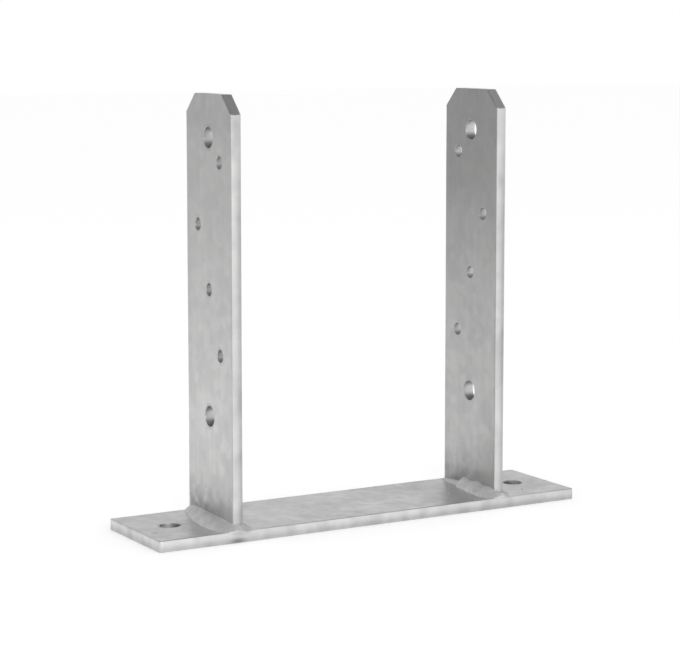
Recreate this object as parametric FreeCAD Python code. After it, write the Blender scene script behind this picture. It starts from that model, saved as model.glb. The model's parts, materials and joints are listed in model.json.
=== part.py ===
import FreeCAD, Part
import math
import os

# Welded timber post base: a flat base strip, two upright flat bars and the weld beads round their feet.
#
# Millimetres. X runs along the base strip, Y across it and Z up. The origin is the middle of the strip's
# underside. The uprights are the same bar: the right one is the left one turned half a turn about Z.

# Flat bars ------------------------------------------------------------------------------------------
BAR_EDGE_RADIUS = 1.0         # the long edges of a rolled bar are never sharp

BASE_LENGTH = 250.0
BASE_WIDTH = 60.0
BASE_THICKNESS = 6.0

UPRIGHT_WIDTH = 50.0
UPRIGHT_THICKNESS = 6.0
UPRIGHT_LENGTH = 218.0        # the bar by itself, standing on the base strip
CORNER_CUT = 10.0             # both top corners are sheared off at 45 degrees
POST_GAP = 152.0              # clear width between the uprights, for a 150 mm post

# Holes ----------------------------------------------------------------------------------------------
ANCHOR_DIAMETER = 11.0        # for M10 anchors
ANCHOR_FROM_END = 20.0        # hole centre to the sheared end of the strip

POST_BOLT_DIAMETER = 11.0     # for M10 bolts right through the post
LOWER_BOLT_ABOVE_FOOT = 54.0
UPPER_BOLT_BELOW_TOP = 22.0

SCREW_DIAMETER = 7.0
SCREW_COUNT = 4
SCREW_PITCH = 32.5            # step up the bar, counted from the lower bolt hole
SCREW_STAGGER = 12.0          # holes stand to one side, in the middle, to the other side, and so on

# Weld beads -----------------------------------------------------------------------------------------
BEAD_LEG_UP = 5.5             # from the root up the bar's face
BEAD_LEG_OUT = 7.0            # from the root out along the base strip
BEAD_CROWN = 1.1              # how far the bead's face bulges over the straight line from toe to toe
BEAD_END_TAPER = 7.0          # a bead starts to die down this far before the bar's edge
BEAD_EDGE_CLEARANCE = 0.2     # and ends this short of the rounding along the strip's long edges
RIPPLE_PITCH = 4.0            # from one frozen ripple to the next
RIPPLE_HEIGHT = 0.45          # a ripple's crest over the valley before it
RIPPLE_LEAN = 0.65            # where the crest lies, as a share of the way to the next valley
RIPPLE_WANDER = 0.2           # how far a hand-laid ripple strays from the true bead, up or down

# Worked out from the sizes above --------------------------------------------------------------------
FOOT_Z = BASE_THICKNESS
TOP_Z = FOOT_Z + UPRIGHT_LENGTH
MIDDLE_X = POST_GAP / 2 + UPRIGHT_THICKNESS / 2
HALF_WIDTH = UPRIGHT_WIDTH / 2
BEAD_END_Y = BASE_WIDTH / 2 - BAR_EDGE_RADIUS - BEAD_EDGE_CLEARANCE

# Across a bead its face is an arc through both toes. The arc's centre is the bead's axis, which lies
# behind the bar's face and below the strip's top.
TOE_TO_TOE = math.hypot(BEAD_LEG_UP, BEAD_LEG_OUT)
FACE_RADIUS = (TOE_TO_TOE ** 2 / 4 + BEAD_CROWN ** 2) / (2 * BEAD_CROWN)
AXIS_BACK = (FACE_RADIUS - BEAD_CROWN) * BEAD_LEG_UP / TOE_TO_TOE - BEAD_LEG_OUT / 2
AXIS_DOWN = (FACE_RADIUS - BEAD_CROWN) * BEAD_LEG_OUT / TOE_TO_TOE - BEAD_LEG_UP / 2

OVERSHOOT = 1.0               # a cutting tool runs this far past what it cuts
WANDER_STEP = 2.1             # radians from one ripple's stray to the next, so that no pattern repeats
NOSE_STEPS = 4                # facets along the parabola in which a bead dies down

X_AXIS = FreeCAD.Vector(1, 0, 0)
Y_AXIS = FreeCAD.Vector(0, 1, 0)
Z_AXIS = FreeCAD.Vector(0, 0, 1)


def flat_bar(size_x, size_y, size_z, long_axis):
    """A rolled flat bar, centred on X and Y and standing on z = 0, with its four long edges rounded."""
    corner = FreeCAD.Vector(-size_x / 2, -size_y / 2, 0)
    bar = Part.makeBox(size_x, size_y, size_z, corner)
    long_edges = []
    for edge in bar.Edges:
        direction = edge.tangentAt(edge.FirstParameter)
        if abs(direction.dot(long_axis)) > 0.99:
            long_edges.append(edge)
    return bar.makeFillet(BAR_EDGE_RADIUS, long_edges)


def drill(diameter, middle, axis, thickness):
    """What a drill takes out of a bar of that thickness, whose middle it passes through."""
    length = thickness + 2 * OVERSHOOT
    start = middle - axis * (length / 2)
    return Part.makeCylinder(diameter / 2, length, start, axis)


def half_turn(shape):
    """A copy of a left-hand piece in its place on the right."""
    copy = shape.copy()
    copy.rotate(FreeCAD.Vector(0, 0, 0), Z_AXIS, 180)
    return copy


def make_base_plate():
    """The strip, with an anchor hole near each end."""
    plate = flat_bar(BASE_LENGTH, BASE_WIDTH, BASE_THICKNESS, X_AXIS)
    anchor_x = BASE_LENGTH / 2 - ANCHOR_FROM_END
    for x in (-anchor_x, anchor_x):
        middle = FreeCAD.Vector(x, 0, BASE_THICKNESS / 2)
        plate = plate.cut(drill(ANCHOR_DIAMETER, middle, Z_AXIS, BASE_THICKNESS))
    return plate


def corner_offcut(side):
    """The triangle sheared off one top corner of the left upright. side is -1 or 1, along Y."""
    back_x = -MIDDLE_X - UPRIGHT_THICKNESS / 2 - OVERSHOOT
    near_y = side * (HALF_WIDTH - CORNER_CUT - OVERSHOOT)
    far_y = side * (HALF_WIDTH + OVERSHOOT)
    high_z = TOP_Z + OVERSHOOT
    low_z = TOP_Z - CORNER_CUT - OVERSHOOT
    inner_top = FreeCAD.Vector(back_x, near_y, high_z)
    outer_top = FreeCAD.Vector(back_x, far_y, high_z)
    outer_low = FreeCAD.Vector(back_x, far_y, low_z)
    triangle = Part.Face(Part.makePolygon([inner_top, outer_top, outer_low, inner_top]))
    return triangle.extrude(X_AXIS * (UPRIGHT_THICKNESS + 2 * OVERSHOOT))


def make_left_upright():
    """The bar on end: two post-bolt holes on its centre line, and staggered screw holes between them."""
    bar = flat_bar(UPRIGHT_THICKNESS, UPRIGHT_WIDTH, UPRIGHT_LENGTH, Z_AXIS)
    bar.translate(FreeCAD.Vector(-MIDDLE_X, 0, FOOT_Z))
    for side in (-1, 1):
        bar = bar.cut(corner_offcut(side))

    lower_bolt_z = FOOT_Z + LOWER_BOLT_ABOVE_FOOT
    upper_bolt_z = TOP_Z - UPPER_BOLT_BELOW_TOP
    for z in (lower_bolt_z, upper_bolt_z):
        middle = FreeCAD.Vector(-MIDDLE_X, 0, z)
        bar = bar.cut(drill(POST_BOLT_DIAMETER, middle, X_AXIS, UPRIGHT_THICKNESS))

    for index in range(SCREW_COUNT):
        y = (index % 3 - 1) * SCREW_STAGGER
        z = lower_bolt_z + (index + 1) * SCREW_PITCH
        middle = FreeCAD.Vector(-MIDDLE_X, y, z)
        bar = bar.cut(drill(SCREW_DIAMETER, middle, X_AXIS, UPRIGHT_THICKNESS))
    return bar


def bead_profile(axis_x, axis_z, phase):
    """Half of a bead, cut lengthwise through its axis: leaning ripples between two parabolic noses."""
    run = HALF_WIDTH - BEAD_END_TAPER
    nose_length = BEAD_END_Y - run
    nose_height = FACE_RADIUS - AXIS_DOWN
    nose = []
    for step in range(1, NOSE_STEPS + 1):
        share = step / NOSE_STEPS
        nose.append((run + nose_length * share, AXIS_DOWN + nose_height * (1 - share ** 2)))

    count = round(2 * run / RIPPLE_PITCH)
    pitch = 2 * run / count
    ripples = []
    for index in range(count):
        valley_radius = FACE_RADIUS - RIPPLE_HEIGHT + RIPPLE_WANDER * math.sin(phase + index * WANDER_STEP)
        ripples.append((-run + index * pitch, valley_radius))
        ripples.append((-run + (index + RIPPLE_LEAN) * pitch, valley_radius + RIPPLE_HEIGHT))
    ripples.append((run, FACE_RADIUS - RIPPLE_HEIGHT))

    far_nose = [(-y, radius) for y, radius in reversed(nose)]
    stations = [(-BEAD_END_Y, 0)] + far_nose + ripples + nose + [(BEAD_END_Y, 0), (-BEAD_END_Y, 0)]
    return Part.Face(Part.makePolygon([FreeCAD.Vector(axis_x, y, axis_z + r) for y, r in stations]))


def weld_run(outward_x, phase, upright):
    """One run of weld on the left upright's foot: along one face and half way round both narrow ends.

    outward_x is -1 for the outer face and 1 for the one towards the post. The bead is a rippled spindle
    turned about its axis, less all that would lie in the strip, in the bar or on the other run's side.
    """
    axis_x = -MIDDLE_X + outward_x * (UPRIGHT_THICKNESS / 2 - AXIS_BACK)
    axis_z = FOOT_Z - AXIS_DOWN
    profile = bead_profile(axis_x, axis_z, phase)
    spindle = profile.revolve(FreeCAD.Vector(axis_x, 0, axis_z), Y_AXIS, 360)

    room = 2 * FACE_RADIUS
    trim_corner = FreeCAD.Vector(-MIDDLE_X + min(outward_x, 0) * room, -BASE_WIDTH / 2, FOOT_Z)
    bead = spindle.common(Part.makeBox(room, BASE_WIDTH, room, trim_corner))
    return bead.cut(upright)


def make_parts():
    """Every piece by its name."""
    left_upright = make_left_upright()
    outward, inward = -1, 1
    return {
        "base_plate": make_base_plate(),
        "left_upright": left_upright,
        "right_upright": half_turn(left_upright),
        "left_outer_weld": weld_run(outward, 0.4, left_upright),
        "left_inner_weld": weld_run(inward, 1.9, left_upright),
        "right_outer_weld": half_turn(weld_run(outward, 3.3, left_upright)),
        "right_inner_weld": half_turn(weld_run(inward, 5.0, left_upright)),
    }


os.makedirs("parts", exist_ok=True)
for name, shape in make_parts().items():
    shape.exportStep(os.path.join("parts", name + ".step"))
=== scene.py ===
"""Dresses a welded timber post base: galvanised flat bars, weld runs round their feet, and a small studio."""

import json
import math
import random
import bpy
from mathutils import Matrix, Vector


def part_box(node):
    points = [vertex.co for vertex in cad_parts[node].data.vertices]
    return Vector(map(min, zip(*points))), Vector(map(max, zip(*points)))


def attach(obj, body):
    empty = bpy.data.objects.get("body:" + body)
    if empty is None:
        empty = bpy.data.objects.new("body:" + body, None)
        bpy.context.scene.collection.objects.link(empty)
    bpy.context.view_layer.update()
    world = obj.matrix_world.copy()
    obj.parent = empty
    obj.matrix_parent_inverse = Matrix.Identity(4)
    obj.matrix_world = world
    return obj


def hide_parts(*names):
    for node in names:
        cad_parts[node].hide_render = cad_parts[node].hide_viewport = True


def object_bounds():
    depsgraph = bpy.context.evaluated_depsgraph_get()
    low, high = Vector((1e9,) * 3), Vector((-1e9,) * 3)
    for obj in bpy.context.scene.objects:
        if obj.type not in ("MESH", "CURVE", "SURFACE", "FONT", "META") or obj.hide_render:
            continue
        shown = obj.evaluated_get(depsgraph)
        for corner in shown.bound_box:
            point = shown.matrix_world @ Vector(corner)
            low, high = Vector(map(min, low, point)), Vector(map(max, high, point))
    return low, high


bl_info = {
    "name": "Timber post base",
    "version": (1, 0, 0),
    "blender": (4, 5, 0),
    "location": "View3D > Sidebar > Post base",
    "description": "Galvanised flat bars and lumpy weld runs for a packed post base",
    "category": "Object",
}

import bmesh
import bpy
from bpy.props import FloatProperty, FloatVectorProperty, IntProperty, PointerProperty, StringProperty
from mathutils import Matrix, Vector, noise
from mathutils.geometry import delaunay_2d_cdt

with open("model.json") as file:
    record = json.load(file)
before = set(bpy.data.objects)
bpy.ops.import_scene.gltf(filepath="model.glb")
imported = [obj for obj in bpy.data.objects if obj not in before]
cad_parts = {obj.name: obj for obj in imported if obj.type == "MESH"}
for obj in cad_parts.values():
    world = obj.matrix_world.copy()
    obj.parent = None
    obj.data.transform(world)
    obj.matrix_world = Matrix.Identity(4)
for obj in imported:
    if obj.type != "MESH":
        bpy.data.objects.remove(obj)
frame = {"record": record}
CAD_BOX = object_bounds()
MM = 0.001

STRIP_LOW, STRIP_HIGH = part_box("base_plate")
BAR_LOW, BAR_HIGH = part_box("right_upright")
STRIP_TOP = STRIP_HIGH.z
FOOT_X = (BAR_LOW.x + BAR_HIGH.x) / 2
HALF_THICKNESS = (BAR_HIGH.x - BAR_LOW.x) / 2
HALF_WIDTH = BAR_HIGH.y

ROUND_STEPS = 5               # facets across a rounded arris
WALL_STEPS = 6                # facets across the narrow face between two arrises
CORNER_STEPS = 6              # facets round a corner in the plane of the broad face
CLEAR_OF_ARRIS = 0.25 * MM    # from an arris to the first row of points on the broad face
INSIDE = 1                    # Delaunay triangles inside the outer rim only
TURN_STEPS = 14               # sections in which a weld run turns a corner
SECTION_STEPS = 20            # facets from a weld run's upper toe to its lower

# The reach of the weld round each foot, at places on the bar's outline, in millimetres:
# (x, y) from the middle of the foot, then the leg out over the strip and the leg up the bar.
LEFT_FOOT_LEGS = (
    ((0, -25), 4.8, 2.4),
    ((3, -21), 5.4, 3.2), ((3, -6), 6.9, 4.6), ((3, 12), 6.2, 5.0), ((3, 21), 4.4, 3.4),
    ((0, 25), 2.0, 2.2),
    ((-3, 24), 2.8, 3.0), ((-3, 18), 4.4, 4.6), ((-3, 10), 6.4, 4.6),
    ((-3, 2), 8.8, 4.1), ((-3, -12), 10.2, 3.7), ((-3, -22), 9.2, 3.0),
)
RIGHT_FOOT_LEGS = (
    ((0, -25), 4.6, 1.7),
    ((3, -21), 5.0, 3.0), ((3, -8), 6.6, 4.9), ((3, 8), 7.0, 4.5), ((3, 20), 4.6, 3.8),
    ((0, 25), 1.2, 1.2),
    ((-3, 23), 1.5, 1.5), ((-3, 11), 1.9, 2.2), ((-3, 4), 4.9, 5.3), ((-3, -3), 5.6, 4.4),
    ((-3, -9), 6.9, 5.2), ((-3, -15), 7.2, 4.0), ((-3, -21), 8.0, 4.4), ((-3, -25), 5.6, 2.4),
)

# Puddles that froze proud of the run: (x, y) on the outline, share of the way down from the upper toe
# to the lower, radius and height, in millimetres.
LEFT_FOOT_PUDDLES = (
    ((-3, 18), 0.5, 4.5, 0.5), ((-3, 8), 0.4, 4.5, 0.5),
    ((-3, -4), 0.55, 5.0, 0.6), ((-3, -16), 0.4, 5.0, 0.7),
    ((3, 16), 0.5, 3.5, 0.6), ((3, 7), 0.5, 3.5, 0.5),
    ((3, -3), 0.5, 4.0, 0.6), ((3, -14), 0.5, 3.5, 0.6),
    ((-1, -25), 0.5, 2.2, 0.5),
)
RIGHT_FOOT_PUDDLES = (
    ((-3, 3), 0.35, 3.4, 0.7), ((-3, 5), 0.75, 3.0, 0.5),
    ((-3, -9), 0.35, 3.8, 0.6), ((-3, -7), 0.75, 3.4, 0.6),
    ((-3, -21), 0.5, 5.5, 0.7),
    ((3, 15), 0.5, 3.5, 0.6), ((3, 5), 0.5, 4.0, 0.5),
    ((3, -6), 0.5, 3.5, 0.6), ((3, -17), 0.5, 3.5, 0.5),
    ((-1, -25), 0.7, 2.2, 1.3),
)

# Dark marks in the zinc, partly stains and partly painted shade in crevices beside the welds: place, reach
# along x, y and z in millimetres, and strength.
DARK_MARKS = (
    ((-81.5, -30, 1.2), (6.0, 2.0, 1.7), 0.9),
    ((-80.0, -30, 4.6), (4.5, 2.0, 1.6), 0.35),
    ((76.0, -26.5, 6.0), (2.0, 2.2, 1.2), 0.8),
    ((-82.0, -12.5, 150.8), (1.0, 1.3, 1.2), 0.30),
    ((-82.0, -12.5, 146.9), (1.0, 1.3, 1.2), 0.30),
    ((-119.0, -12.0, 6.0), (1.1, 1.6, 1.0), 0.55),
    ((76.0, 20.0, 183.5), (1.0, 2.0, 2.0), 0.25),
    ((80.0, -25.0, 176.0), (4.0, 1.0, 5.0), 0.35),
    ((-82.0, 17.0, 11.6), (1.0, 7.0, 1.5), 0.45),
    ((-82.0, 6.0, 12.2), (1.0, 4.0, 1.2), 0.30),
    ((-76.4, -29.8, 5.8), (2.4, 0.8, 0.9), 0.50),
)


# Sizes, colours and levels that a user would change ---------------------------------------------------


class BarSettings(bpy.types.PropertyGroup):
    rolled_radius: FloatProperty(
        name="Rolled arris radius", description="Rounding of the arrises along the bars",
        default=0.85 * MM, unit="LENGTH")
    strip_radius: FloatProperty(
        name="Strip arris radius", description="Rounding of the arrises along the base strip",
        default=0.5 * MM, unit="LENGTH")
    rolled_crown: FloatProperty(
        name="Rolled edge crown", description="How far a rolled narrow face bulges in its middle",
        default=0.32 * MM, unit="LENGTH")
    sheared_radius: FloatProperty(
        name="Sheared arris radius", description="Zinc-filled rounding along the sheared ends and corners",
        default=0.45 * MM, unit="LENGTH")
    rim_radius: FloatProperty(
        name="Hole rim radius", description="How far zinc rounds over the rims of the holes",
        default=0.3 * MM, unit="LENGTH")
    bore_zinc: FloatProperty(
        name="Zinc in the holes", description="How far the pooled zinc narrows a hole all round",
        default=0.3 * MM, unit="LENGTH")
    corner_radius: FloatProperty(
        name="Corner radius", description="Rounding of the sheared corners in the plane of the bar",
        default=1.5 * MM, unit="LENGTH")
    corner_cut: FloatProperty(
        name="Corner cut", description="Length sheared off each side of an upright's top corners",
        default=10.0 * MM, unit="LENGTH")
    mesh_step: FloatProperty(
        name="Mesh step", description="Spacing of the points on the broad faces",
        default=1.15 * MM, unit="LENGTH")
    bow: FloatProperty(
        name="Bow", description="Depth of the long, slow unevenness of a hot-rolled face",
        default=0.10 * MM, unit="LENGTH")
    peel: FloatProperty(
        name="Peel", description="Depth of the small unevenness of the dipped zinc",
        default=0.035 * MM, unit="LENGTH")


class WeldSettings(bpy.types.PropertyGroup):
    fullness: FloatProperty(
        name="Fullness", description="2 is a flat-faced fillet, less bulges and more is hollow",
        default=2.5, min=1.0, max=3.0)
    crown: FloatProperty(
        name="Crown", description="How far a run bulges between its toes",
        default=0.85 * MM, unit="LENGTH")
    unevenness: FloatProperty(
        name="Unevenness", description="Depth of the lumps and dips of a hand-laid run",
        default=0.75 * MM, unit="LENGTH")
    ripple_length: FloatProperty(
        name="Ripple length", description="From one frozen ripple to the next",
        default=1.7 * MM, unit="LENGTH")
    ripple_height: FloatProperty(
        name="Ripple height", description="Crest over valley of the frozen ripples under the zinc",
        default=0.22 * MM, unit="LENGTH")
    spatter_count: IntProperty(
        name="Spatter", description="Beads of weld spatter round each foot", default=8, min=0)
    seed: IntProperty(name="Seed", description="Draw of the spatter beads", default=7)


class ZincSettings(bpy.types.PropertyGroup):
    bright: StringProperty(
        name="Bright zinc", description="sRGB hex of zinc crystals turned to the light", default="E8E8E7")
    dull: StringProperty(
        name="Dull zinc", description="sRGB hex of zinc crystals turned from the light", default="D6D6D6")
    # This grey also paints shade: in the bores, on the darker sides and arrises of the bars, and above the
    # weld beads.
    tarnish_and_shade: StringProperty(
        name="Tarnish", description="sRGB hex of weathered zinc and of the ash beside welds",
        default="787878")
    spangle: FloatProperty(
        name="Spangle", description="Width of one zinc crystal", default=5.0 * MM, unit="LENGTH")
    roughness: FloatProperty(
        name="Roughness", description="Mean roughness of the zinc skin", default=0.46, min=0, max=1)
    weld_roughness: FloatProperty(
        name="Weld roughness", description="Mean roughness of the skin on the welds",
        default=0.44, min=0, max=1)
    weld_metallic: FloatProperty(
        name="Weld metallic", description="How metallic the skin on the welds is", default=0.42, min=0, max=1)


class StudioSettings(bpy.types.PropertyGroup):
    camera_place: FloatVectorProperty(
        name="Camera", description="Where the camera stands", size=3, subtype="TRANSLATION",
        default=(-0.58943, -1.00742, 0.26300), unit="LENGTH")
    camera_turn: FloatProperty(
        name="Turn", description="Camera heading, from +Y towards +X", default=0.52549, subtype="ANGLE")
    camera_dip: FloatProperty(
        name="Dip", description="How far the camera looks down", default=0.11544, subtype="ANGLE")
    lens: FloatProperty(name="Lens", description="Focal length on a 36 mm sensor", default=118.64)
    shift: FloatProperty(name="Shift", description="Upward shift of the lens", default=-0.0779)
    floor_near: StringProperty(
        name="Floor", description="sRGB hex of the floor round the part", default="EDEDED")
    floor_far: StringProperty(
        name="Far floor", description="sRGB hex of the floor beyond the lamps' reach", default="A0A0A0")
    key_power: FloatProperty(
        name="Key lamp", description="Power of the large lamp in front, in watts", default=6.2)
    fill_level: FloatProperty(
        name="Surroundings", description="Strength of the room's own light", default=0.75)
    dark_wall: FloatProperty(
        name="Dark wall", description="Level of the wall that stands away from the lamps", default=0.48)
    ceiling: FloatProperty(
        name="Ceiling", description="Level of the ceiling, against the walls", default=0.16)


def settings(group):
    """One group of this add-on's settings."""
    return getattr(bpy.context.scene, "post_base_" + group)


def smooth_step(low, high, value):
    """0 up to low, 1 from high on, and an S-curve between them. low may be the larger of the two."""
    share = min(max((value - low) / (high - low), 0), 1)
    return share * share * (3 - 2 * share)


# Flat bars ----------------------------------------------------------------------------------------------


def edge_profile(radius, crown, half):
    """(inset, height) down a bar's narrow face, from one broad face to the other, half above and below 0.

    The face bulges by crown in its middle, and radius rounds the arrises. The first and the last point
    lie on the broad faces, just clear of the rounding, so that it stays crisp.
    """
    slope = math.atan(2 * crown / half)
    shoulder = half - radius * (1 - math.sin(slope))
    shoulder_inset = crown * (shoulder / half) ** 2
    arris = [(shoulder_inset + radius * math.cos(slope) + CLEAR_OF_ARRIS, half)]
    for step in range(ROUND_STEPS + 1):
        angle = math.pi / 2 + (slope - math.pi / 2) * step / ROUND_STEPS
        inset = shoulder_inset + radius * (math.cos(slope) - math.cos(angle))
        arris.append((inset, half - radius * (1 - math.sin(angle))))
    wall = []
    for step in range(1, WALL_STEPS):
        height = shoulder * (1 - 2 * step / WALL_STEPS)
        wall.append((crown * (height / half) ** 2, height))
    return arris + wall + [(inset, -height) for inset, height in reversed(arris)]


def contour(corners, step):
    """Points round a convex outline: place, outward normal, (arris radius, crown) and darkness.

    corners is a list of (place, corner radius, edge), anticlockwise. edge is the arris radius and the
    crown of the side that follows the corner.
    """
    points = []
    count = len(corners)
    for index, (corner, radius, edge) in enumerate(corners):
        before, _, last_edge = corners[index - 1]
        after, next_radius, _ = corners[(index + 1) % count]
        beyond = corners[(index + 2) % count][0]
        arriving = (corner - before).normalized()
        leaving = (after - corner).normalized()
        parting = (beyond - after).normalized()
        turn = arriving.angle(leaving)
        setback = radius * math.tan(turn / 2)
        centre = corner - arriving * setback + Vector((-arriving.y, arriving.x)) * radius
        start = math.atan2(-arriving.x, arriving.y)
        for turn_step in range(CORNER_STEPS + 1):
            share = turn_step / CORNER_STEPS
            normal = Vector((math.cos(start + turn * share), math.sin(start + turn * share)))
            points.append((centre + normal * radius, normal, last_edge.lerp(edge, share), 0.0))

        run_start = corner + leaving * setback
        run_end = after - leaving * next_radius * math.tan(leaving.angle(parting) / 2)
        outward = Vector((leaving.y, -leaving.x))
        pieces = max(1, round((run_end - run_start).length / step))
        for piece in range(1, pieces):
            points.append((run_start.lerp(run_end, piece / pieces), outward, edge, 0.0))
    return points


def bore(centre, radius, edge, dark_axis, step):
    """Points round a hole, as contour gives them, with normals that point into it.

    The two sides of the bore that lie along dark_axis are painted darker, as painted shade in the hole,
    and more in a wide bore than in a narrow one.
    """
    count = max(32, round(math.tau * radius / (step * 0.75)))
    points = []
    for index in range(count):
        angle = -math.tau * index / count
        outward = Vector((math.cos(angle), math.sin(angle)))
        darkness = abs(outward.dot(dark_axis)) ** 2 * smooth_step(1.5 * MM, 4.5 * MM, radius)
        points.append((centre + outward * radius, -outward, edge, darkness))
    return points


def edge_band(mesh, outline, half):
    """The wall of a contour. Returns its rim on the top face and its rim on the bottom face."""
    dull_and_shade = mesh.verts.layers.float["dull_and_shade"]
    loops = []
    for place, normal, edge, darkness in outline:
        strand = []
        for inset, height in edge_profile(edge[0], edge[1], half):
            point = place - normal * inset
            vertex = mesh.verts.new((point.x, point.y, height))
            # Painted shade in a bore: darker inside it, lighter at its rims.
            inside = smooth_step(0, 0.8 * MM, half - abs(height))
            vertex[dull_and_shade] = darkness * (0.45 + 0.5 * inside)
            strand.append(vertex)
        loops.append(strand)
    for strand, after in zip(loops, loops[1:] + loops[:1]):
        for k in range(len(strand) - 1):
            mesh.faces.new((strand[k], strand[k + 1], after[k + 1], after[k]))
    return [strand[0] for strand in loops], [strand[-1] for strand in loops]


def face_points(corners, holes, half, step):
    """A hexagonal net of points over a broad face, clear of its edges and holes."""
    sides = []
    for index, (corner, _, edge) in enumerate(corners):
        along = (corners[(index + 1) % len(corners)][0] - corner).normalized()
        outward = Vector((along.y, -along.x))
        inset = edge_profile(edge[0], edge[1], half)[0][0]
        sides.append((corner - outward * inset, outward))
    low_u, high_u = min(c[0].x for c in corners), max(c[0].x for c in corners)
    low_v, high_v = min(c[0].y for c in corners), max(c[0].y for c in corners)
    clear = 0.6 * step
    rows = math.ceil((high_v - low_v) / (step * math.sqrt(3) / 2))
    columns = math.ceil((high_u - low_u) / step)
    points = []
    for row in range(rows):
        v = low_v + (row + 0.5) * (high_v - low_v) / rows
        for column in range(columns):
            u = low_u + (column + 0.25 + 0.5 * (row % 2)) * (high_u - low_u) / columns
            point = Vector((u, v))
            inside = all((point - place).dot(outward) < -clear for place, outward in sides)
            clear_of_holes = all((point - centre).length > reach + clear for centre, reach in holes)
            if inside and clear_of_holes:
                points.append(point)
    return points


def fill_face(mesh, rims, inner, holes, height):
    """Covers a broad face between its outer rim and the rims of its holes."""
    vertices, fences = [], []
    for rim in rims:
        first = len(vertices)
        vertices.extend(rim)
        fences.extend((first + i, first + (i + 1) % len(rim)) for i in range(len(rim)))
    vertices.extend(mesh.verts.new((point.x, point.y, height)) for point in inner)
    flat = [vertex.co.xy for vertex in vertices]
    places, _, triangles, origins, _, _ = delaunay_2d_cdt(flat, fences, [], INSIDE, 1e-7)
    for triangle in triangles:
        middle = sum((places[i] for i in triangle), Vector((0, 0))) / 3
        if any((middle - centre).length < reach * 0.98 for centre, reach in holes):
            continue
        ring = [vertices[origins[i][0]] for i in triangle]
        if height < 0:
            ring.reverse()
        mesh.faces.new(ring)


def bar(name, corners, holes, thickness, place):
    """A flat bar with rounded arrises, softened holes and a slightly uneven zinc skin.

    corners is as in contour. holes is a list of (centre, radius, dark axis). place turns the bar's own
    u, v, w into the frame.
    """
    size = settings("bars")
    half = thickness / 2
    rim = Vector((size.rim_radius, 0))
    mesh = bmesh.new()
    mesh.verts.layers.float.new("dull_and_shade")
    mesh.verts.layers.float.new("weld_ash_and_shade")
    mesh.verts.layers.float.new("chalk")
    bands = [edge_band(mesh, contour(corners, size.mesh_step), half)]
    openings = []
    for centre, radius, dark_axis in holes:
        coated = radius - size.bore_zinc
        bands.append(edge_band(mesh, bore(centre, coated, rim, dark_axis, size.mesh_step), half))
        openings.append((centre, radius + size.rim_radius + CLEAR_OF_ARRIS))
    inner = face_points(corners, openings, half, size.mesh_step)
    fill_face(mesh, [band[0] for band in bands], inner, openings, half)
    fill_face(mesh, [band[1] for band in bands], inner, openings, -half)
    mesh.transform(place)
    bmesh.ops.recalc_face_normals(mesh, faces=mesh.faces)
    roughen(mesh, size.bow, size.peel)
    mark_stains_and_shade(mesh)
    return finish_piece(name, mesh)


def roughen(mesh, bow, peel):
    """Sinks the skin a little, by a slow and a quick unevenness. It never rises above its own plane."""
    mesh.normal_update()
    moves = []
    for vertex in mesh.verts:
        slow = noise.noise(vertex.co / (40 * MM))
        quick = noise.noise(vertex.co / (5 * MM) + Vector((7, 3, 5)))
        moves.append(vertex.normal * -(bow * (0.5 + 0.5 * slow) + peel * (0.5 + 0.5 * quick)))
    for vertex, move in zip(mesh.verts, moves):
        vertex.co += move


def mark_stains_and_shade(mesh):
    """Marks each point of a bar with how much darker it is painted, for greyed zinc, stains and painted
    shade, and with the pale bloom of the welds.
    """
    dull_and_shade = mesh.verts.layers.float["dull_and_shade"]
    ash_and_shade = mesh.verts.layers.float["weld_ash_and_shade"]
    chalk = mesh.verts.layers.float["chalk"]
    for vertex in mesh.verts:
        vertex[dull_and_shade] = max(vertex[dull_and_shade], patina_and_shade(vertex.co, vertex.normal), dark_mark(vertex.co))
        vertex[ash_and_shade], vertex[chalk] = weld_traces_and_shade(vertex.co)


def dark_mark(point):
    """How dark the strongest of the dark marks at a point makes it, from 0 to 1."""
    darkest = 0.0
    for place, reach, strength in DARK_MARKS:
        away = sum(((point[k] / MM - place[k]) / reach[k]) ** 2 for k in range(3))
        darkest = max(darkest, strength * math.exp(-away))
    return darkest


def patina_and_shade(point, facing):
    """How much darker a point is painted, by the face of the bar on which it lies: greyed zinc and painted
    shade.
    """
    blotch = smooth_step(-0.1, 0.5, noise.noise(Vector((point.x, point.y, point.z * 0.6)) / (7 * MM)))
    if point.z < STRIP_TOP + 0.1 * MM:
        return strip_patina_and_shade(point, facing, blotch)
    return upright_patina_and_shade(point, facing, blotch)


def strip_patina_and_shade(point, facing, blotch):
    """The strip is darker towards its right end, and its narrow faces are painted darker towards the floor as
    painted shade.
    """
    # Painted shade: the narrow faces darker towards the floor.
    floor_side_shade = smooth_step(STRIP_TOP * 0.75, STRIP_TOP * 0.15, point.z)
    right_end = 0.12 * smooth_step(0, 100 * MM, point.x)
    narrow = 0.03 + right_end + 0.30 * floor_side_shade + 0.14 * blotch
    broad = 0.10 * smooth_step(0, 50 * MM, point.x)
    return broad + (narrow - broad) * facing.xy.length_squared


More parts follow.
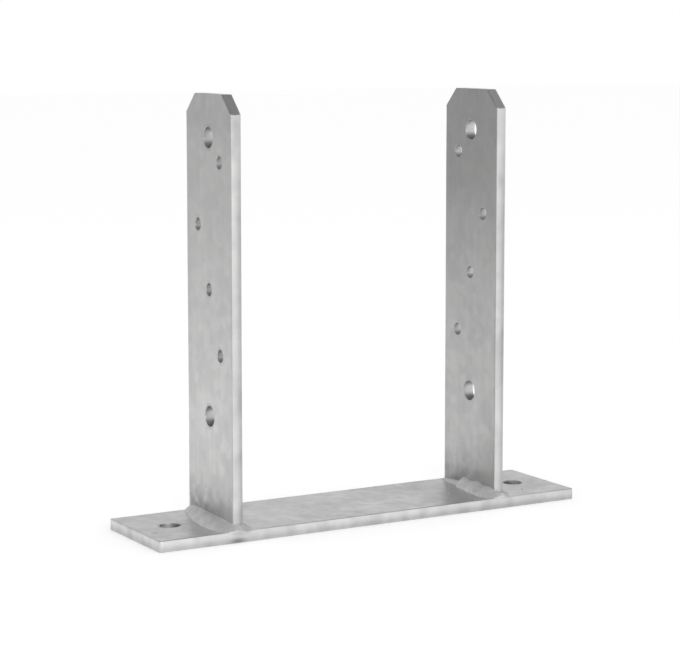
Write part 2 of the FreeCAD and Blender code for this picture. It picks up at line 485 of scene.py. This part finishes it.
def upright_patina_and_shade(point, facing, blotch):
    """The uprights are painted darker towards their tops, along their arrises and on the side of their narrow
    faces towards +x, as painted shade.

    The right one is the greyer, its broad faces painted darker as shade, but its narrow faces stay clean near
    the top.
    """
    wander = 16 * MM * noise.noise(point / (24 * MM))
    rise = smooth_step(105 * MM, 190 * MM, point.z + wander)
    # Painted shade: the broad faces darker towards the tops, and the right bar's broad faces darker all over.
    if point.x > 0:
        foot, gain, arris_shade = 0.36, 0.22, 0.55
        ends = 0.0
        clean_top = 0.8 * smooth_step(140 * MM, 190 * MM, point.z)
    else:
        foot, gain, arris_shade = 0.12, 0.05, 0.35
        top_end = 0.10 * smooth_step(196 * MM, 212 * MM, point.z)
        ends = top_end + 0.06 * smooth_step(75 * MM, 40 * MM, point.z)
        clean_top = 0.0
    # Painted shade on the side of the narrow faces towards +x, below the sheared top.
    right_side_shade = smooth_step(-0.06, 0.14, facing.x) * smooth_step(220 * MM, 150 * MM, point.z)
    broad = facing.x ** 2 * (foot + gain * rise + ends)
    narrow = facing.y ** 2 * ((0.09 + 0.16 * blotch) * (1 - clean_top) + 0.30 * right_side_shade)
    # Painted shade along the arrises between the broad and the narrow faces.
    return max(broad + narrow, 4 * (facing.x * facing.y) ** 2 * arris_shade)


def weld_traces_and_shade(point):
    """How much darker a point of a bar is painted just above a bead, for weld stains and painted shade, and
    how much pale bloom lies on the strip.
    """
    beside = max(abs(abs(point.x) - FOOT_X) - HALF_THICKNESS, 0)
    beyond = max(abs(point.y) - HALF_WIDTH, 0)
    above = max(point.z - STRIP_TOP, 0)
    reach = math.hypot(beside, beyond, above)
    on_upright = smooth_step(0, 3 * MM, above)
    # Painted shade with weld stains on the uprights above the beads, strongest towards the far ends of the
    # feet.
    far_end = 0.1 + 0.9 * smooth_step(-24 * MM, 10 * MM, point.y)
    strength = 1.2 if point.x > 0 else 1.5
    clear_of_bead = max(reach - 5 * MM, 0)
    ash_and_shade = strength * on_upright * far_end * math.exp(-((clear_of_bead / (12 * MM)) ** 2))
    bloom = 0.45 * (1 - on_upright) * math.exp(-((reach / (16 * MM)) ** 2))
    return ash_and_shade, bloom


def finish_piece(name, mesh):
    """Turns the mesh into a smooth-shaded object that keeps inside the CAD box."""
    low, high = CAD_BOX
    for vertex in mesh.verts:
        for axis in range(3):
            vertex.co[axis] = min(max(vertex.co[axis], low[axis]), high[axis])
    data = bpy.data.meshes.new(name)
    mesh.to_mesh(data)
    mesh.free()
    data.shade_smooth()
    piece = bpy.data.objects.new(name, data)
    bpy.context.scene.collection.objects.link(piece)
    return piece


def recorded_holes(side):
    """(centre, radius, dark axis) of each bore through one upright, in y and z. side is -1 or 1, along x."""
    holes = []
    for mount in frame["record"]["mounts"]:
        if mount["kind"] != "bore":
            continue
        x, y, z = mount["pos_m"]
        through_both = mount["dims"]["length_mm"] * MM > BAR_HIGH.x
        if through_both or x * side > 0:
            holes.append((Vector((y, z)), mount["dims"]["r_mm"] * MM, Vector((0, 1))))
    return holes


def recorded_anchors():
    """(centre, radius, dark axis) of each anchor hole through the strip, in x and y."""
    for mount in frame["record"]["mounts"]:
        if mount["kind"] == "bolt_pattern":
            half = mount["dims"]["spacing_x_mm"] * MM / 2
            radius = mount["dims"]["hole_r_mm"] * MM
            return [(Vector((-half, 0)), radius, Vector((1, 0))), (Vector((half, 0)), radius, Vector((0, 1)))]
    raise RuntimeError("the packed record has no anchor holes")


# Weld runs ----------------------------------------------------------------------------------------------


def weld_path():
    """Points round the foot of a bar, from its middle: place, outward normal and way travelled."""
    radius = settings("bars").rolled_radius
    turns = (Vector((-HALF_THICKNESS, -HALF_WIDTH)), Vector((HALF_THICKNESS, -HALF_WIDTH)),
             Vector((HALF_THICKNESS, HALF_WIDTH)), Vector((-HALF_THICKNESS, HALF_WIDTH)))
    points = []
    for index, corner in enumerate(turns):
        before, after = turns[index - 1], turns[(index + 1) % 4]
        arriving, leaving = (corner - before).normalized(), (after - corner).normalized()
        centre = corner - arriving * radius + leaving * radius
        start = math.atan2(-arriving.x, arriving.y)
        for step in range(TURN_STEPS + 1):
            angle = start + math.pi / 2 * step / TURN_STEPS
            normal = Vector((math.cos(angle), math.sin(angle)))
            points.append((centre + normal * radius, normal))
        run_start, run_end = corner + leaving * radius, after - leaving * radius
        pieces = max(2, round((run_end - run_start).length / (0.4 * MM)))
        for piece in range(1, pieces):
            points.append((run_start.lerp(run_end, piece / pieces), Vector((leaving.y, -leaving.x))))

    travelled = 0.0
    path = []
    for index, (place, normal) in enumerate(points):
        path.append((place, normal, travelled))
        next_place, next_normal = points[(index + 1) % len(points)]
        step_out = (next_normal - normal) * 3 * MM
        travelled += (next_place - place + step_out).length
    return path, travelled


def way_to(path, x, y):
    """How far along the path its nearest point to x, y lies. x and y are in millimetres."""
    place = Vector((x, y)) * MM
    return min(path, key=lambda point: (point[0] - place).length)[2]


def legs_at(stations, way, length):
    """The legs out and up at one place on the way, eased between the stations before and after it."""
    for index, (start, out, up) in enumerate(stations):
        end, next_out, next_up = stations[(index + 1) % len(stations)]
        gap = (end - start) % length
        share = ((way - start) % length) / gap
        if share <= 1:
            share = smooth_step(0, 1, share)
            return out + (next_out - out) * share, up + (next_up - up) * share
    raise RuntimeError("the stations do not close round the foot")


def over_strip(y, height):
    """Where in y and z a point lies that is height over the strip at y.

    Past the flat of the strip's top it bends down, round the arris and on along the narrow face.
    """
    size = settings("bars")
    half = (STRIP_HIGH.z - STRIP_LOW.z) / 2
    slope = math.atan(2 * size.rolled_crown / half)
    flat_inset = edge_profile(size.strip_radius, size.rolled_crown, half)[1][0]
    beyond = abs(y) - (STRIP_HIGH.y - flat_inset)
    if beyond <= 0:
        return y, STRIP_TOP + height
    angle = max(math.pi / 2 - beyond / size.strip_radius, slope)
    down_wall = beyond - size.strip_radius * (math.pi / 2 - angle)
    reach = size.strip_radius + height
    out = reach * math.cos(angle) + down_wall * math.sin(slope)
    drop = size.strip_radius - reach * math.sin(angle) + down_wall * math.cos(slope)
    return math.copysign(STRIP_HIGH.y - flat_inset + out, y), STRIP_TOP - drop


def weld_ring(name, middle_x, legs, puddles):
    """The weld all round one foot, as one closed and lumpy ring, with spatter near it."""
    mesh = bmesh.new()
    mesh.verts.layers.float.new("dull_and_shade")
    path, length = weld_path()
    stations = sorted((way_to(path, x, y), out * MM, up * MM) for (x, y), out, up in legs)
    lumps = []
    for (x, y), share, radius, height in puddles:
        lumps.append((way_to(path, x, y), share, radius * MM, height * MM))
    rings = []
    for place, normal, way in path:
        leg_out, leg_up = legs_at(stations, way, length)
        here = Vector((middle_x, 0)) + place
        near = []
        for lump_way, share, radius, height in lumps:
            along = (way - lump_way + length / 2) % length - length / 2
            near.append((along / radius, share, radius, height))
        rings.append(weld_section(mesh, here, normal, leg_out, leg_up, way, near))
    for ring, after in zip(rings, rings[1:] + rings[:1]):
        for k in range(len(ring)):
            j = (k + 1) % len(ring)
            mesh.faces.new((ring[k], after[k], after[j], ring[j]))
    add_spatter(mesh, middle_x)
    bmesh.ops.recalc_face_normals(mesh, faces=mesh.faces)
    return finish_piece(name, mesh)


def weld_section(mesh, here, normal, leg_out, leg_up, way, lumps):
    """One cross-section of the ring: its face from the upper toe to the lower, and its root in the steel."""
    size = settings("welds")
    dull_and_shade = mesh.verts.layers.float["dull_and_shade"]
    embed = 0.3 * MM
    root_depth = 0.9 * MM
    flow = Vector((leg_up, leg_out)).normalized()
    fall = math.hypot(leg_out, leg_up)
    body = min(fall / (6 * MM), 1)      # a run narrower than 6 mm is flatter and smoother
    ring = []
    for step in range(SECTION_STEPS + 1):
        share = step / SECTION_STEPS
        out = -embed + (leg_out + embed) * math.sin(math.pi / 2 * share) ** size.fullness
        up = -embed + (leg_up + embed) * math.cos(math.pi / 2 * share) ** size.fullness
        window = math.sin(math.pi * share) ** 1.4
        spot = here + normal * out
        lift = size.crown * window * body
        broad = noise.noise(Vector((spot.x, spot.y, up)) / (5.5 * MM) + Vector((3, 1, 4)))
        fine = noise.noise(Vector((spot.x, spot.y, up)) / (2.3 * MM) + Vector((8, 2, 6)))
        lift += size.unevenness * window * (0.8 * broad + 0.35 * fine) * body
        proud = 0.0
        for along, lump_share, radius, height in lumps:
            across = (share - lump_share) * fall / radius
            closeness = math.exp(-along ** 2 - across ** 2)
            proud = max(proud, closeness)
            lift += height * window * closeness
        lag = 1.8 * MM * (2 * share - 0.9) ** 2 + 1.6 * MM * noise.noise(Vector((way / (7 * MM), 0, 9)))
        ripple = math.sin(math.tau * (way - lag) / size.ripple_length)
        lift += size.ripple_height * 0.5 * window * ripple
        spot = here + normal * (out + flow.x * lift)
        y, z = over_strip(spot.y, up + flow.y * lift)
        vertex = mesh.verts.new((spot.x, y, z))
        near_toe = smooth_step(0.25, 0, min(share, 1 - share))
        # Painted shade, partly weld stains: darker away from the proud puddles, near the toes and in the
        # ripple valleys.
        soot_and_shade = 0.08 * (1 - proud) + 0.03 * near_toe + 0.04 * window * (1 - ripple)
        vertex[dull_and_shade] = max(soot_and_shade, dark_mark(vertex.co))
        ring.append(vertex)
    root = here - normal * root_depth
    ring.append(mesh.verts.new((root.x, root.y, STRIP_TOP - root_depth)))
    return ring


def add_spatter(mesh, middle_x):
    """Small domes of weld metal, frozen to the strip and to the bar's faces near a foot."""
    size = settings("welds")
    dull_and_shade = mesh.verts.layers.float["dull_and_shade"]
    draw = random.Random(size.seed + (middle_x > 0))
    for index in range(size.spatter_count):
        radius = draw.uniform(0.28, 0.6) * MM
        side = draw.choice((-1, 1))
        away = draw.uniform(9, 22) * MM
        y = draw.uniform(-0.95, 0.95) * HALF_WIDTH
        stretch = draw.uniform(0.9, 1.3)
        if index % 3:
            place = Vector((middle_x + side * (HALF_THICKNESS + away), y, STRIP_TOP - 0.1 * MM))
            flat = Matrix.Diagonal((stretch, 1, 0.7, 1))
        else:
            place = Vector((middle_x + side * (HALF_THICKNESS - 0.12 * MM), y * 0.9, STRIP_TOP + away))
            flat = Matrix.Diagonal((0.6, 1, stretch, 1))
        matrix = Matrix.Translation(place) @ flat
        made = bmesh.ops.create_icosphere(mesh, subdivisions=2, radius=radius, matrix=matrix)
        for vertex in made["verts"]:
            vertex[dull_and_shade] = 0.25
            vertex.co += (vertex.co - place) * 0.25 * noise.noise(vertex.co / (0.5 * MM))


# Materials ----------------------------------------------------------------------------------------------


def linear(code):
    """An sRGB hex colour as the linear RGBA that Blender's sockets take."""
    values = [int(code[i:i + 2], 16) / 255 for i in (0, 2, 4)]
    return [v / 12.92 if v <= 0.04045 else ((v + 0.055) / 1.055) ** 2.4 for v in values] + [1.0]


def add_node(tree, kind, inputs=None, **options):
    """Adds a node, sets its options, and sets or links its inputs. A node as an input is its first output."""
    node = tree.nodes.new(kind)
    for option, value in options.items():
        setattr(node, option, value)
    for key, value in (inputs or {}).items():
        if isinstance(value, bpy.types.Node):
            value = value.outputs[0]
        if isinstance(value, bpy.types.NodeSocket):
            tree.links.new(value, node.inputs[key])
        else:
            node.inputs[key].default_value = value
    return node


def galvanised_steel(name, lumpiness, metallic, roughness):
    """Hot-dip galvanised mild steel: a satin grey zinc skin, frozen from the bath.

    It gives the eye faint crystals a few millimetres wide, slow clouds, runs down the faces where zinc ran
    off, a fine grain, and greyed zinc, weld stains, painted shade and chalky bloom where the points of the
    mesh say so. Where the steel holds much silicon, as in weld metal, zinc and iron grow a matt grey skin:
    less metallic, and rougher.
    """
    zinc = settings("zinc")
    material = bpy.data.materials.new(name)
    material.use_nodes = True
    tree = material.node_tree
    tree.nodes.clear()
    place = add_node(tree, "ShaderNodeTexCoord").outputs["Object"]
    millimetres = add_node(tree, "ShaderNodeVectorMath", {0: place, "Scale": 1 / MM}, operation="SCALE")

    # Crystals: soft-edged patches, each a shade lighter or darker than its neighbour.
    stray = add_node(tree, "ShaderNodeTexNoise", {"Vector": millimetres, "Scale": 1 / 3.5, "Detail": 3})
    strayed = add_node(
        tree, "ShaderNodeVectorMath", {0: stray.outputs["Color"], 1: (3.5, 3.5, 3.5), 2: millimetres},
        operation="MULTIPLY_ADD")
    crystals = add_node(
        tree, "ShaderNodeTexVoronoi", {"Vector": strayed, "Scale": MM / zinc.spangle, "Smoothness": 0.6},
        feature="SMOOTH_F1")
    shade = add_node(tree, "ShaderNodeSeparateColor", {0: crystals.outputs["Color"]})

    # Clouds 22 mm wide, runs 4 mm wide and 60 mm long, and a grain of 0.9 mm.
    clouds = add_node(
        tree, "ShaderNodeTexNoise", {"Vector": millimetres, "Scale": 1 / 22, "Detail": 5, "Roughness": 0.6})
    stretched = add_node(
        tree, "ShaderNodeVectorMath", {0: millimetres, 1: (1, 1, 4 / 60)}, operation="MULTIPLY")
    runs = add_node(tree, "ShaderNodeTexNoise", {"Vector": stretched, "Scale": 1 / 4, "Detail": 3})
    grain = add_node(tree, "ShaderNodeTexNoise", {"Vector": millimetres, "Scale": 1 / 0.9, "Detail": 2})

    mottle = 0.0
    for pattern, weight in ((shade, 0.30), (clouds, 0.60), (runs, 0.45), (grain, 0.30)):
        mottle = add_node(
            tree, "ShaderNodeMath", {0: pattern, 1: weight, 2: mottle}, operation="MULTIPLY_ADD")
    spread = {"Value": mottle, "From Min": 0.5, "From Max": 1.15}
    share = add_node(tree, "ShaderNodeMapRange", spread)
    skin = add_node(
        tree, "ShaderNodeMix", {0: share, 6: linear(zinc.dull), 7: linear(zinc.bright)}, data_type="RGBA")

    # Greyed zinc and painted shade from the points, then weld stains and painted shade above the beads: a
    # grey bloom with a torn edge.
    dull_and_shade = add_node(tree, "ShaderNodeAttribute", attribute_name="dull_and_shade")
    skin = add_node(
        tree, "ShaderNodeMix", {0: dull_and_shade.outputs["Fac"], 6: skin.outputs[2], 7: linear(zinc.tarnish_and_shade)},
        data_type="RGBA")
    ash_and_shade = add_node(tree, "ShaderNodeAttribute", attribute_name="weld_ash_and_shade")
    torn = add_node(tree, "ShaderNodeTexNoise", {"Vector": millimetres, "Scale": 1 / 5, "Detail": 4})
    torn = add_node(
        tree, "ShaderNodeMapRange",
        {"Value": torn, "From Min": 0.3, "From Max": 0.65, "To Min": 0.2, "To Max": 0.5})
    ash_and_shade = add_node(tree, "ShaderNodeMath", {0: ash_and_shade.outputs["Fac"], 1: torn}, operation="MULTIPLY")
    skin = add_node(
        tree, "ShaderNodeMix", {0: ash_and_shade, 6: skin.outputs[2], 7: linear(zinc.tarnish_and_shade)}, data_type="RGBA")

    rough = add_node(
        tree, "ShaderNodeMapRange", {**spread, "To Min": roughness + 0.06, "To Max": roughness - 0.06})
    relief = add_node(tree, "ShaderNodeMath", {0: grain, 1: 0.25, 2: clouds}, operation="MULTIPLY_ADD")
    bump = add_node(
        tree, "ShaderNodeBump", {"Strength": lumpiness, "Distance": 0.25 * MM, "Height": relief})
    chalk = add_node(tree, "ShaderNodeAttribute", attribute_name="chalk").outputs["Fac"]
    bare = add_node(
        tree, "ShaderNodeMapRange", {"Value": chalk, "To Min": metallic, "To Max": 0.0})
    shader = add_node(
        tree, "ShaderNodeBsdfPrincipled",
        {"Base Color": skin.outputs[2], "Metallic": bare, "Roughness": rough, "Normal": bump})
    add_node(tree, "ShaderNodeOutputMaterial", {0: shader})
    return material


def direct_rays(tree):
    """1 for rays from the camera, from metal and through glass, and 0 for the rest."""
    rays = add_node(tree, "ShaderNodeLightPath")
    total = add_node(
        tree, "ShaderNodeMath", {0: rays.outputs["Is Camera Ray"], 1: rays.outputs["Is Glossy Ray"]},
        operation="ADD")
    return add_node(
        tree, "ShaderNodeMath", {0: total, 1: rays.outputs["Is Transmission Ray"]}, operation="ADD",
        use_clamp=True)


def matt_white_sweep():
    """Matt painted board: white to the lens up to the part's shadow, and greyer to metal further off."""
    studio = settings("studio")
    paint = bpy.data.materials.new("matt_white_sweep")
    paint.use_nodes = True
    tree = paint.node_tree
    tree.nodes.clear()
    position = add_node(tree, "ShaderNodeTexCoord").outputs["Object"]
    away = add_node(tree, "ShaderNodeVectorMath", {0: position}, operation="LENGTH").outputs["Value"]
    beyond = add_node(
        tree, "ShaderNodeMapRange", {"Value": away, "From Min": 0.25, "From Max": 1.3},
        interpolation_type="SMOOTHSTEP")
    lens = add_node(tree, "ShaderNodeLightPath").outputs["Is Camera Ray"]
    beyond = add_node(tree, "ShaderNodeMath", {0: beyond, 1: lens}, operation="SUBTRACT", use_clamp=True)
    tint = add_node(
        tree, "ShaderNodeMix", {0: beyond, 6: linear(studio.floor_near), 7: linear(studio.floor_far)},
        data_type="RGBA")
    matt = add_node(tree, "ShaderNodeBsdfDiffuse", {"Color": tint.outputs[2]})
    glow = add_node(tree, "ShaderNodeEmission", {"Color": (1, 1, 1, 1), "Strength": 0.35})
    lit = add_node(tree, "ShaderNodeAddShader", {0: matt, 1: glow})
    mix = add_node(tree, "ShaderNodeMixShader", {0: direct_rays(tree), 1: matt, 2: lit})
    add_node(tree, "ShaderNodeOutputMaterial", {0: mix})
    return paint


def studio_walls():
    """The room: white behind the part, and to metal a bright side, a dark side and a dim ceiling."""
    studio = settings("studio")
    world = bpy.data.worlds.new("white_studio")
    world.use_nodes = True
    tree = world.node_tree
    tree.nodes.clear()
    direction = add_node(tree, "ShaderNodeTexCoord").outputs["Generated"]
    keyward = add_node(
        tree, "ShaderNodeVectorMath", {0: direction, 1: (0.9, -0.44, 0)}, operation="DOT_PRODUCT")
    around = add_node(
        tree, "ShaderNodeMapRange",
        {"Value": keyward.outputs["Value"], "From Min": -1, "From Max": 0.15,
         "To Min": studio.dark_wall, "To Max": 1.0})
    height = add_node(tree, "ShaderNodeSeparateXYZ", {0: direction}).outputs["Z"]
    overhead = add_node(
        tree, "ShaderNodeMapRange",
        {"Value": height, "From Min": 0.33, "From Max": 0.85, "To Min": 1.0, "To Max": studio.ceiling},
        interpolation_type="SMOOTHSTEP")
    walls = add_node(tree, "ShaderNodeMath", {0: around, 1: overhead}, operation="MULTIPLY")
    lens = add_node(tree, "ShaderNodeLightPath").outputs["Is Camera Ray"]
    backdrop = add_node(tree, "ShaderNodeMix", {0: lens, 2: walls, 3: 1.0})
    white = add_node(tree, "ShaderNodeBackground", {"Color": (1, 1, 1, 1), "Strength": backdrop})
    room = add_node(tree, "ShaderNodeBackground", {"Color": (1, 1, 1, 1), "Strength": studio.fill_level})
    mix = add_node(tree, "ShaderNodeMixShader", {0: direct_rays(tree), 1: room, 2: white})
    add_node(tree, "ShaderNodeOutputWorld", {0: mix})
    return world


# Operators ----------------------------------------------------------------------------------------------


class POSTBASE_OT_strip(bpy.types.Operator):
    """The flat strip with its two anchor holes."""

    bl_idname = "post_base.strip"
    bl_label = "Base strip"

    def execute(self, context):
        size = settings("bars")
        low, high = STRIP_LOW, STRIP_HIGH
        rolled = Vector((size.strip_radius, size.rolled_crown))
        sheared = Vector((size.sheared_radius, 0))
        corners = [
            (Vector((low.x, low.y)), size.corner_radius, rolled),
            (Vector((high.x, low.y)), size.corner_radius, sheared),
            (Vector((high.x, high.y)), size.corner_radius, rolled),
            (Vector((low.x, high.y)), size.corner_radius, sheared),
        ]
        place = Matrix.Translation((0, 0, (low.z + high.z) / 2))
        piece = bar("base_strip", corners, recorded_anchors(), high.z - low.z, place)
        roughness = settings("zinc").roughness
        piece.data.materials.append(galvanised_steel("hot_dip_galvanised_strip", 0.5, 1.0, roughness))
        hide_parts("base_plate")
        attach(piece, "root")
        return {"FINISHED"}


class POSTBASE_OT_uprights(bpy.types.Operator):
    """The two upright flat bars, with bolt holes, staggered screw holes and sheared top corners."""

    bl_idname = "post_base.uprights"
    bl_label = "Uprights"

    def execute(self, context):
        size = settings("bars")
        finish = galvanised_steel("hot_dip_galvanised_flat_bar", 0.5, 1.0, settings("zinc").roughness)
        rolled = Vector((size.rolled_radius, size.rolled_crown))
        sheared = Vector((size.sheared_radius, 0))
        round_off = size.corner_radius
        for side, node in ((-1, "left_upright"), (1, "right_upright")):
            low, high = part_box(node)
            shoulder = high.z - size.corner_cut
            corners = [
                (Vector((low.y, low.z)), round_off, sheared),
                (Vector((high.y, low.z)), round_off, rolled),
                (Vector((high.y, shoulder)), round_off, sheared),
                (Vector((high.y - size.corner_cut, high.z)), round_off, sheared),
                (Vector((low.y + size.corner_cut, high.z)), round_off, sheared),
                (Vector((low.y, shoulder)), round_off, rolled),
            ]
            place = Matrix(((0, 0, 1, (low.x + high.x) / 2), (1, 0, 0, 0), (0, 1, 0, 0), (0, 0, 0, 1)))
            piece = bar(node + "_bar", corners, recorded_holes(side), high.x - low.x, place)
            piece.data.materials.append(finish)
            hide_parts(node)
            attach(piece, "root")
        return {"FINISHED"}


class POSTBASE_OT_welds(bpy.types.Operator):
    """The weld runs round both feet."""

    bl_idname = "post_base.welds"
    bl_label = "Weld runs"

    def execute(self, context):
        zinc = settings("zinc")
        finish = galvanised_steel("hot_dip_galvanised_weld", 0.8, zinc.weld_metallic, zinc.weld_roughness)
        feet = (("left", -FOOT_X, LEFT_FOOT_LEGS, LEFT_FOOT_PUDDLES),
                ("right", FOOT_X, RIGHT_FOOT_LEGS, RIGHT_FOOT_PUDDLES))
        for side, middle_x, legs, puddles in feet:
            piece = weld_ring(side + "_foot_weld", middle_x, legs, puddles)
            piece.data.materials.append(finish)
            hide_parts(side + "_outer_weld", side + "_inner_weld")
            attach(piece, "root")
        return {"FINISHED"}


class POSTBASE_OT_studio(bpy.types.Operator):
    """A pale floor, soft light and the camera."""

    bl_idname = "post_base.studio"
    bl_label = "Studio"

    def execute(self, context):
        studio = settings("studio")
        scene = context.scene
        scene.view_settings.view_transform = "Standard"
        scene.world = studio_walls()

        mesh = bmesh.new()
        bmesh.ops.create_grid(mesh, x_segments=8, y_segments=8, size=6)
        data = bpy.data.meshes.new("floor")
        mesh.to_mesh(data)
        mesh.free()
        data.materials.append(matt_white_sweep())
        floor = bpy.data.objects.new("floor", data)
        floor.location.z = -0.05 * MM
        scene.collection.objects.link(floor)

        lamp = bpy.data.lights.new("front_softbox", "AREA")
        lamp.shape = "RECTANGLE"
        lamp.size, lamp.size_y = 1.0, 0.8
        lamp.energy = studio.key_power
        softbox = bpy.data.objects.new("front_softbox", lamp)
        softbox.location = (-0.35, -1.7, 0.85)
        aim = Vector((0, 0, 0.1)) - softbox.location
        softbox.rotation_euler = aim.to_track_quat("-Z", "Y").to_euler()
        scene.collection.objects.link(softbox)

        eye = bpy.data.cameras.new("camera")
        eye.sensor_width = 36.0
        eye.lens = studio.lens
        eye.shift_y = studio.shift
        camera = bpy.data.objects.new("camera", eye)
        camera.location = studio.camera_place
        camera.rotation_euler = (math.pi / 2 - studio.camera_dip, 0, -studio.camera_turn)
        scene.collection.objects.link(camera)
        scene.camera = camera
        return {"FINISHED"}


class POSTBASE_PT_panel(bpy.types.Panel):
    """Lists the pieces and the studio."""

    bl_idname = "POSTBASE_PT_panel"
    bl_label = "Post base"
    bl_space_type = "VIEW_3D"
    bl_region_type = "UI"
    bl_category = "Post base"

    def draw(self, context):
        for operator in OPERATORS:
            self.layout.operator(operator.bl_idname)


GROUPS = {"bars": BarSettings, "welds": WeldSettings, "zinc": ZincSettings, "studio": StudioSettings}
OPERATORS = (POSTBASE_OT_strip, POSTBASE_OT_uprights, POSTBASE_OT_welds, POSTBASE_OT_studio)


def register():
    for name, group in GROUPS.items():
        bpy.utils.register_class(group)
        setattr(bpy.types.Scene, "post_base_" + name, PointerProperty(type=group))
    for operator in OPERATORS:
        bpy.utils.register_class(operator)
    bpy.utils.register_class(POSTBASE_PT_panel)


def unregister():
    bpy.utils.unregister_class(POSTBASE_PT_panel)
    for operator in reversed(OPERATORS):
        bpy.utils.unregister_class(operator)
    for name, group in GROUPS.items():
        delattr(bpy.types.Scene, "post_base_" + name)
        bpy.utils.unregister_class(group)


def main():
    """Builds every piece and the studio."""
    register()
    bpy.ops.post_base.strip()
    bpy.ops.post_base.uprights()
    bpy.ops.post_base.welds()
    bpy.ops.post_base.studio()


if __name__ == "__main__":
    main()
